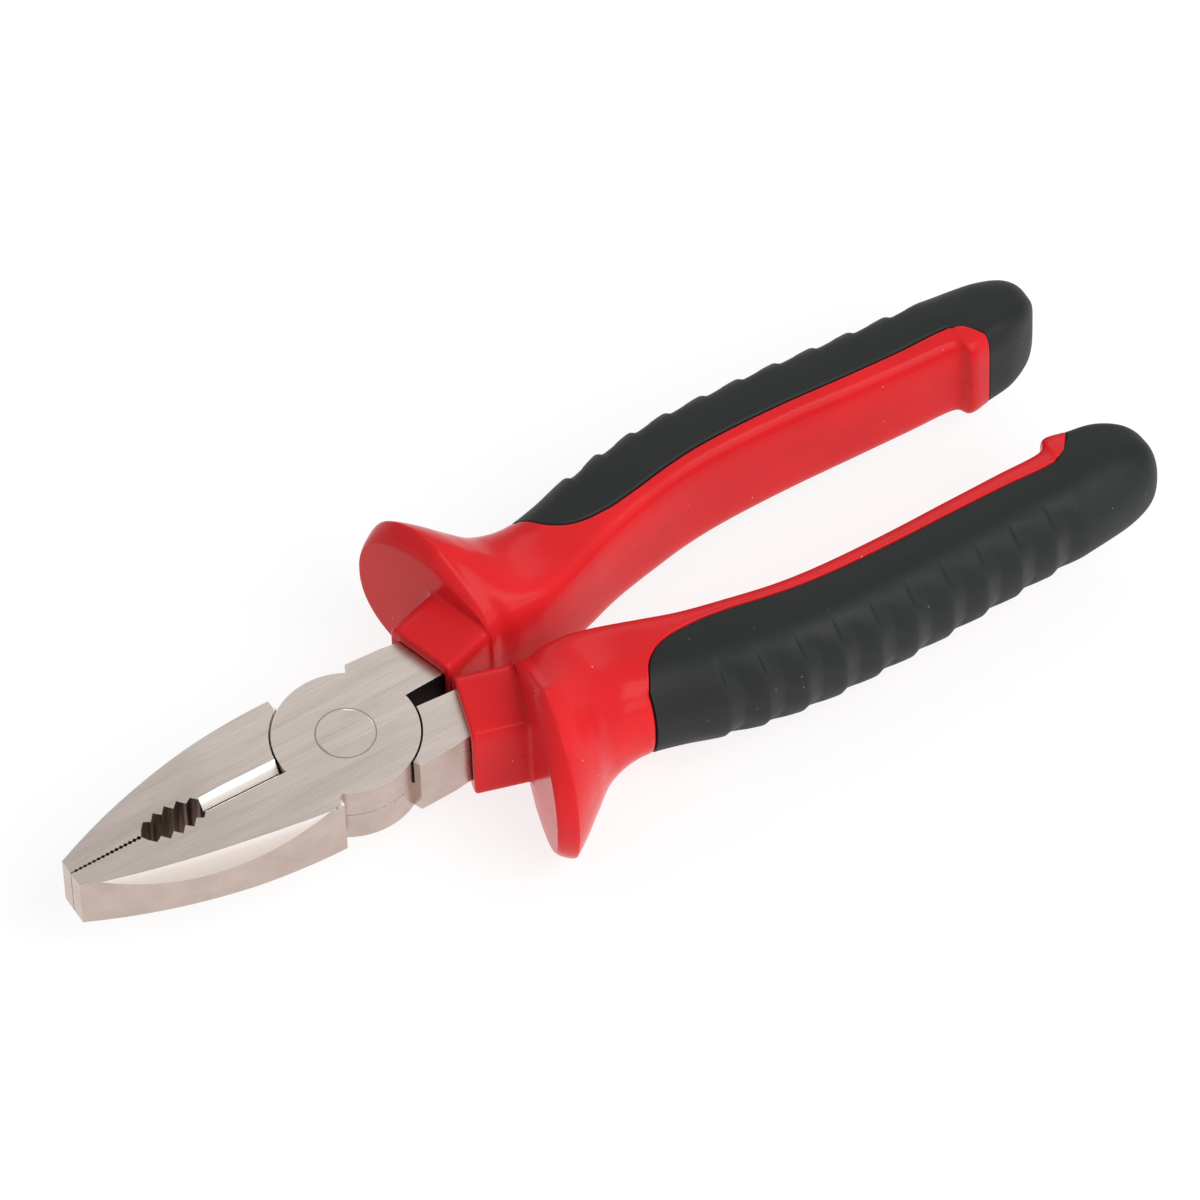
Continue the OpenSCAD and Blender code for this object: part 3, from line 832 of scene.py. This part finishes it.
def soft_black(colour):
    """Thermoplastic rubber moulded against a spark-eroded tool: a dead matt charcoal with a very
    fine grain, faint handling marks, and lint on it."""
    made, tree, place = new_material("matt_black_thermoplastic_rubber")
    rub = node(tree, "TexNoise", {"Vector": (place, "Object"), "Scale": per_mm(9),
                                  "Detail": 5.0, "Roughness": 0.6})
    tone = node(tree, "ValToRGB", {"Fac": (rub, "Fac")},
                stops=[(0.3, shade(colour, 0.92)), (0.7, shade(colour, 1.1))])
    lint_at = node(tree, "TexVoronoi", {"Vector": (place, "Object"), "Scale": per_mm(4.4),
                                        "Randomness": 1.0})
    lint = node(tree, "MapRange", {"Value": (lint_at, "Distance"), "From Min": 0.02,
                                   "From Max": 0.045, "To Min": 0.6, "To Max": 0.0})
    dusty = node(tree, "Mix", {"Factor": (lint, "Result"), "A": (tone, "Color"),
                               "B": linear(LINT)}, data_type="RGBA")
    # Spark grain is about 0.1 mm, drawn at 0.22 mm so that it shows
    grain = node(tree, "TexNoise", {"Vector": (place, "Object"), "Scale": per_mm(0.22),
                                    "Detail": 2.0, "Roughness": 0.7})
    bump = node(tree, "Bump", {"Height": (grain, "Fac"), "Strength": 0.4,
                               "Distance": 0.03 * MM})
    rough = node(tree, "MapRange", {"Value": (rub, "Fac"), "From Min": 0.3, "From Max": 0.7,
                                    "To Min": 0.5, "To Max": 0.62})
    shader = node(tree, "BsdfPrincipled", {
        "Base Color": (dusty, "Result"), "Roughness": (rough, "Result"), "IOR": 1.5,
        "Specular IOR Level": 0.3, "Normal": (bump, "Normal")})
    node(tree, "OutputMaterial", {"Surface": (shader, "BSDF")})
    return made


def studio_paper(colour):
    """Seamless background paper: pale, matt, with a fibre too fine to see except as tone."""
    made, tree, place = new_material("studio_background_paper")
    fibre = node(tree, "TexNoise", {"Vector": (place, "Object"), "Scale": per_mm(6),
                                    "Detail": 4.0})
    tone = node(tree, "ValToRGB", {"Fac": (fibre, "Fac")},
                stops=[(0.3, shade(colour, 0.995)), (0.7, colour)])
    bump = node(tree, "Bump", {"Height": (fibre, "Fac"), "Strength": 0.1,
                               "Distance": 0.05 * MM})
    shader = node(tree, "BsdfPrincipled", {
        "Base Color": (tone, "Color"), "Roughness": 0.9, "Normal": (bump, "Normal"),
        "Emission Color": linear("FFFFFF"), "Emission Strength": 0.8})
    node(tree, "OutputMaterial", {"Surface": (shader, "BSDF")})
    return made


def dress(obj, material):
    """Gives the object this material and no other."""
    obj.data.materials.clear()
    obj.data.materials.append(material)


# ---- stage, in metres ----

PAPER_HALF = 3.0           # half the width of the paper
PAPER_FLAT = 2.2           # it is flat this far out
PAPER_ROLL = 0.02          # and falls by this times the square of the distance past that
WALL_COLOUR = "F1F1F2"
WALL_STRENGTH = 0.62
# Name, place from the middle of the view, width and height, and power in watts
SOFT_LIGHTS = (
    ("key_softbox", (0.35, -0.8, 1.15), (0.9, 0.8), 10.5),
    ("front_softbox", (0.4, -1.35, 0.55), (1.1, 0.6), 5.5),
    ("back_softbox", (0.7, 0.9, 0.9), (0.8, 0.5), 2.4),
)


def paper_sheet(colour):
    """A wide sheet of paper under the tool, with its far edges rolled down a little."""
    low = cad_box[0].z
    bm = bmesh.new()
    bmesh.ops.create_grid(bm, x_segments=24, y_segments=24, size=PAPER_HALF)
    for v in bm.verts:
        v.co.z = low - PAPER_ROLL * max(0.0, v.co.length - PAPER_FLAT) ** 2
    mesh = bpy.data.meshes.new("background_paper")
    bm.to_mesh(mesh)
    bm.free()
    mesh.shade_smooth()
    sheet = bpy.data.objects.new("background_paper", mesh)
    bpy.context.scene.collection.objects.link(sheet)
    dress(sheet, studio_paper(colour))


def studio_walls():
    """Even pale light from all round."""
    world = bpy.data.worlds.new("studio_walls")
    world.use_nodes = True
    background = world.node_tree.nodes["Background"]
    background.inputs["Color"].default_value = linear(WALL_COLOUR)
    background.inputs["Strength"].default_value = WALL_STRENGTH
    return world


def soft_light(name, middle, place, size, power):
    """An area light that looks at the middle of the view."""
    light = bpy.data.lights.new(name, "AREA")
    light.shape = "RECTANGLE"
    light.size, light.size_y = size
    light.energy = power
    obj = bpy.data.objects.new(name, light)
    obj.location = middle + place
    obj.rotation_euler = (-place).to_track_quat("-Z", "Y").to_euler()
    bpy.context.scene.collection.objects.link(obj)


def aim_camera(studio, middle):
    """Azimuth 0 looks along +Y. The roll is about the line of sight."""
    a, e = studio.azimuth, studio.elevation
    back = Vector((sin(a) * cos(e), -cos(a) * cos(e), sin(e)))
    right = Vector((cos(a), sin(a), 0))
    level = Matrix((right, back.cross(right), back)).transposed()
    camera = bpy.data.cameras.new("studio_camera")
    camera.lens = studio.lens
    camera.sensor_width = 36
    camera.clip_end = 20
    obj = bpy.data.objects.new("studio_camera", camera)
    turn = level @ Matrix.Rotation(studio.roll, 3, "Z")
    obj.matrix_world = Matrix.Translation(middle + studio.distance * back) @ turn.to_4x4()
    bpy.context.scene.collection.objects.link(obj)
    bpy.context.scene.camera = obj


# ---- operators ----

# Nodes that keep their CAD mesh, and how far their edges are eased, in millimetres
STEEL_NODES = {"lever_a": 0.1, "lever_b": 0.1, "pivot_rivet": 0.04}
SHARP_EDGE = radians(24)   # only edges that turn more than this are eased


class PLIERS_OT_steel(bpy.types.Operator):
    """Ease the edges of the two forged levers and the rivet, and plate them"""
    bl_idname = "pliers.steel"
    bl_label = "Levers and rivet"

    def execute(self, context):
        finishes = context.scene.pliers_finishes
        steel = plated_steel(finishes.steel, finishes.side, finishes.bright, finishes.teeth_shade)
        for name, ease in STEEL_NODES.items():
            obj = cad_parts[name]
            dress(obj, steel)
            obj.data.shade_smooth()
            modifier(obj, "joined faces", "WELD", merge_threshold=SAME_POINT)
            modifier(obj, "eased edges", "BEVEL", width=ease * MM, segments=2,
                     limit_method="ANGLE", angle_limit=SHARP_EDGE, harden_normals=True,
                     use_clamp_overlap=True)
            modifier(obj, "flat faces", "WEIGHTED_NORMAL", keep_sharp=False)
        return {"FINISHED"}


class PLIERS_OT_sleeves(bpy.types.Operator):
    """Mould the two red sleeves: collar, finger guard, neck and inner strip"""
    bl_idname = "pliers.sleeves"
    bl_label = "Red sleeves"

    def execute(self, context):
        s = in_mm(context.scene.pliers_handle)
        red = moulded_red(context.scene.pliers_finishes.red)
        grid = sleeve_grid(s)
        for side in SIDES:
            obj = grid_object("sleeve_" + side + "_shell", grid, side, True, (True, True))
            modifier(obj, "smooth skin", "SUBSURF", levels=1, render_levels=1)
            dress(obj, red)
            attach(obj, "half_" + side)
            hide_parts("sleeve_" + side)
        return {"FINISHED"}


class PLIERS_OT_grips(bpy.types.Operator):
    """Mould the two soft grips, with their finger ribs"""
    bl_idname = "pliers.grips"
    bl_label = "Soft grips"

    def execute(self, context):
        s = in_mm(context.scene.pliers_handle)
        ribs = in_mm(context.scene.pliers_ribs)
        black = soft_black(context.scene.pliers_finishes.black)
        grid = grip_grid(s, ribs)
        for side in SIDES:
            obj = grid_object("grip_" + side + "_cover", grid, side, False, (False, False))
            modifier(obj, "wall", "SOLIDIFY", thickness=s.grip_wall * MM, offset=-1.0)
            modifier(obj, "smooth skin", "SUBSURF", levels=1, render_levels=1)
            dress(obj, black)
            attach(obj, "half_" + side)
            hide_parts("grip_" + side)
        return {"FINISHED"}


class PLIERS_OT_stage(bpy.types.Operator):
    """Set the paper, the lights and the camera"""
    bl_idname = "pliers.stage"
    bl_label = "Stage"

    def execute(self, context):
        studio = context.scene.pliers_studio
        paper_sheet(context.scene.pliers_finishes.paper)
        context.scene.world = studio_walls()
        middle = Vector(studio.look_at)
        for name, place, size, power in SOFT_LIGHTS:
            soft_light(name, middle, Vector(place), size, power)
        aim_camera(studio, middle)
        context.scene.view_settings.view_transform = "Standard"
        return {"FINISHED"}


class PLIERS_PT_panel(bpy.types.Panel):
    """The steps that make the pliers"""
    bl_idname = "PLIERS_PT_panel"
    bl_label = "Lineman pliers"
    bl_space_type = "VIEW_3D"
    bl_region_type = "UI"
    bl_category = "Pliers"

    def draw(self, context):
        for step in STEPS:
            self.layout.operator(step.bl_idname)
        for group in (context.scene.pliers_handle, context.scene.pliers_ribs,
                      context.scene.pliers_finishes, context.scene.pliers_studio):
            box = self.layout.box()
            for name in group.__annotations__:
                box.prop(group, name)


STEPS = (PLIERS_OT_stage, PLIERS_OT_steel, PLIERS_OT_sleeves, PLIERS_OT_grips)
GROUPS = {
    "pliers_handle": HandleSizes,
    "pliers_ribs": RibSizes,
    "pliers_finishes": Finishes,
    "pliers_studio": StudioSettings,
}


def register():
    for group in GROUPS.values():
        bpy.utils.register_class(group)
    for name, group in GROUPS.items():
        setattr(bpy.types.Scene, name, bpy.props.PointerProperty(type=group))
    for step in STEPS:
        bpy.utils.register_class(step)
    bpy.utils.register_class(PLIERS_PT_panel)


def unregister():
    bpy.utils.unregister_class(PLIERS_PT_panel)
    for step in reversed(STEPS):
        bpy.utils.unregister_class(step)
    for name in GROUPS:
        delattr(bpy.types.Scene, name)
    for group in reversed(GROUPS.values()):
        bpy.utils.unregister_class(group)


def main():
    """Makes the pliers and the stage."""
    register()
    bpy.ops.pliers.stage()
    bpy.ops.pliers.steel()
    bpy.ops.pliers.sleeves()
    bpy.ops.pliers.grips()


if __name__ == "__main__":
    main()
